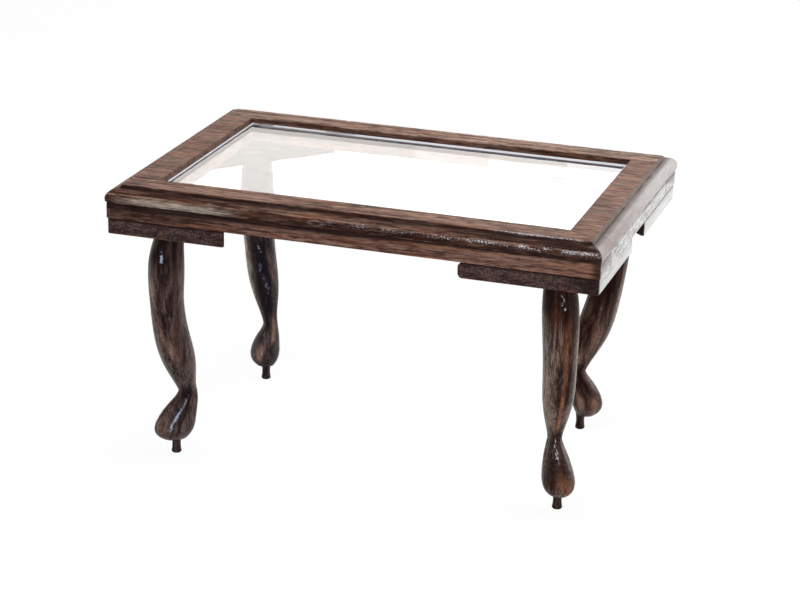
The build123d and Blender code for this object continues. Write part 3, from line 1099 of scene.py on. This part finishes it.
def build_table():
    # the grain of the stiles and of the short apron strips runs across them
    for node, side in RAILS.items():
        tones = FRONT_TONES if side < 0 else BACK_TONES
        wood = stained_wood(f"{node} wood", ALONG_X, len(node), tones, RAIL_LOOK)
        dress(moulded_rail(node, side), wood)
    for node, side in STILES.items():
        wood = stained_wood(f"{node} wood", ALONG_X, len(node) + 20, STILE_TONES, STILE_LOOK)
        dress(moulded_stile(node, side), wood)
    for seed, node in enumerate(APRONS, start=70):
        wood = stained_wood(f"{node} wood", ALONG_X, seed, APRON_TONES, APRON_LOOK)
        dress(apron_strip(node, seed), wood)
    for seed, corner in enumerate(CORNERS, start=90):
        wood = stained_wood(f"{corner} block wood", ALONG_X, seed, BLOCK_TONES, BLOCK_LOOK)
        dress(corner_block(corner, seed), wood)
        tones, look = LEG_TONES[corner], LEG_LOOKS[corner]
        wood = stained_wood(f"{corner} leg wood", ALONG_Z, seed + 10, tones, look)
        dress(cabriole_leg(corner, seed + 10), wood)
    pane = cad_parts["pane"]
    pane.data.materials.clear()
    dress(pane, clear_pane())


# ---------------- stage, light and camera


def build_stage():
    """A wide pale floor that turns up into the backdrop far behind: a level run, a quarter
    circle and an upright run, carried from side to side."""
    across = np.linspace(-FLOOR_REACH, FLOOR_REACH, 25)
    level = np.linspace(-FLOOR_REACH, FLOOR_TURN, 19)
    bend = np.linspace(0, pi / 2, 13)[1:]
    upright = np.linspace(TURN_RADIUS, BACKDROP_HEIGHT, 9)[1:]
    run = np.vstack([
        np.stack([level, 0 * level], axis=-1),
        TURN_RADIUS * np.stack([np.sin(bend), 1 - np.cos(bend)], axis=-1) + [FLOOR_TURN, 0],
        np.stack([0 * upright + FLOOR_TURN + TURN_RADIUS, upright], axis=-1),
    ])
    x = np.broadcast_to(across[None, :], (len(run), len(across)))
    y = np.broadcast_to(run[:, :1], x.shape)
    z = np.broadcast_to(run[:, 1:], x.shape)
    points = np.stack([x, y, z], axis=-1).reshape(-1, 3)
    mesh = bpy.data.meshes.new("floor")
    quads = grid_quads(len(run), len(across), closed=False)
    mesh.from_pydata((points * MM).tolist(), [], quads.tolist())
    mesh.polygons.foreach_set("use_smooth", np.ones(len(mesh.polygons), dtype=bool))
    floor = new_object("floor", mesh)
    material, tree = new_material("pale floor")
    matt = add(tree, "BsdfDiffuse", {"Color": (0.9, 0.9, 0.9, 1)}).outputs[0]
    bright = add(tree, "Emission", {"Color": (1, 1, 1, 1), "Strength": 1.0}).outputs[0]
    # to glossy rays the floor glows, faint in front of the table and bright behind it: a painted
    # reflection of a bright studio behind
    back = axes_of(tree, "Object")[1]
    glow = linear(tree, past(tree, back, -70, 20), 0.8, 0.04)
    reflected = add(tree, "Emission", {"Color": (1, 1, 1, 1), "Strength": glow}).outputs[0]
    glossy = add(tree, "LightPath").outputs["Is Glossy Ray"]
    unseen = mixed(tree, glossy, matt, reflected)
    both = mixed(tree, product(tree, seen_directly(tree), 0.93), unseen, bright)
    add(tree, "OutputMaterial", {"Surface": both})
    floor.data.materials.append(material)


def aimed(azimuth, elevation, distance, target):
    """Place and turn of something that looks at the target from that direction; azimuth 0
    is in front, and 90 to the right."""
    a, e = radians(azimuth), radians(elevation)
    back = Vector((sin(a) * cos(e), -cos(a) * cos(e), sin(e)))
    right = Vector((cos(a), sin(a), 0))
    up = back.cross(right)
    turn = Matrix((right, up, back)).transposed()
    return Matrix.Translation(target + back * distance) @ turn.to_4x4()


def softbox(name, azimuth, elevation, distance, width, height, radiance, colour):
    """A soft lamp: its power is its radiance times pi times its area."""
    data = bpy.data.lights.new(name, "AREA")
    data.shape = "RECTANGLE"
    data.size, data.size_y = width * MM, height * MM
    data.energy = radiance * pi * data.size * data.size_y
    data.color = colour
    lamp = new_object(name, data)
    lamp.matrix_world = aimed(azimuth, elevation, distance * MM, Vector((0, 0, 40 * MM)))
    lamp.visible_camera = False


# Lamps: name, azimuth, elevation, distance, width, height, radiance and colour
WARM, COOL, WHITE = (1, 0.94, 0.87), (0.85, 0.93, 1), (1, 1, 1)
LAMPS = [
    ("overhead lamp", 0, 82, 620, 160, 160, 17, WHITE),
    ("low softbox behind", 197, 20, 480, 340, 130, 1.3, WARM),
    ("first window behind", 186.8, 20, 490, 165, 130, 0.3, (0.9, 0.96, 1)),
    ("second window behind", 185.0, 20, 490, 135, 130, 0.45, COOL),
    ("third window behind", 183.1, 20, 490, 102, 130, 0.9, COOL),
    ("right softbox", 125, 22, 480, 420, 280, 5.5, WHITE),
    ("front window", 12, 14, 700, 130, 480, 3.6, (0.85, 0.92, 1)),
    ("left window", -8, 43, 640, 90, 170, 18, (0.88, 0.93, 1)),
]


def build_light():
    """The lamps, and a dim world that shows white to the camera and through the pane."""
    for lamp in LAMPS:
        softbox(*lamp)
    world = bpy.data.worlds.new("studio")
    world.use_nodes = True
    tree = world.node_tree
    tree.nodes.clear()
    dim, gloss, white = (
        add(tree, "Background", {"Color": (1, 1, 1, 1), "Strength": strength}).outputs[0]
        for strength in (0.45, 0.12, 1.0))
    glossy = add(tree, "LightPath").outputs["Is Glossy Ray"]
    unseen = mixed(tree, glossy, dim, gloss)
    both = mixed(tree, seen_directly(tree), unseen, white)
    add(tree, "OutputWorld", {"Surface": both})
    bpy.context.scene.world = world


def build_camera():
    """The view from a little above and to the right of the front."""
    azimuth, elevation, roll = 17.465, 19.637, 1.479
    distance = 513.907 * MM
    a = radians(azimuth)
    right = Vector((cos(a), sin(a), 0))
    target = right * 0.663 * MM + Vector((0, 0, 31.429 * MM))
    data = bpy.data.cameras.new("camera")
    data.sensor_width = 36
    data.sensor_fit = "HORIZONTAL"
    data.lens = 110.82
    data.clip_start = 0.01
    data.clip_end = 20
    camera = new_object("camera", data)
    place = aimed(azimuth, elevation, distance, target)
    camera.matrix_world = place @ Matrix.Rotation(radians(roll), 4, "Z")
    bpy.context.scene.camera = camera


build_table()
build_stage()
build_light()
build_camera()
bpy.context.scene.view_settings.view_transform = "Standard"
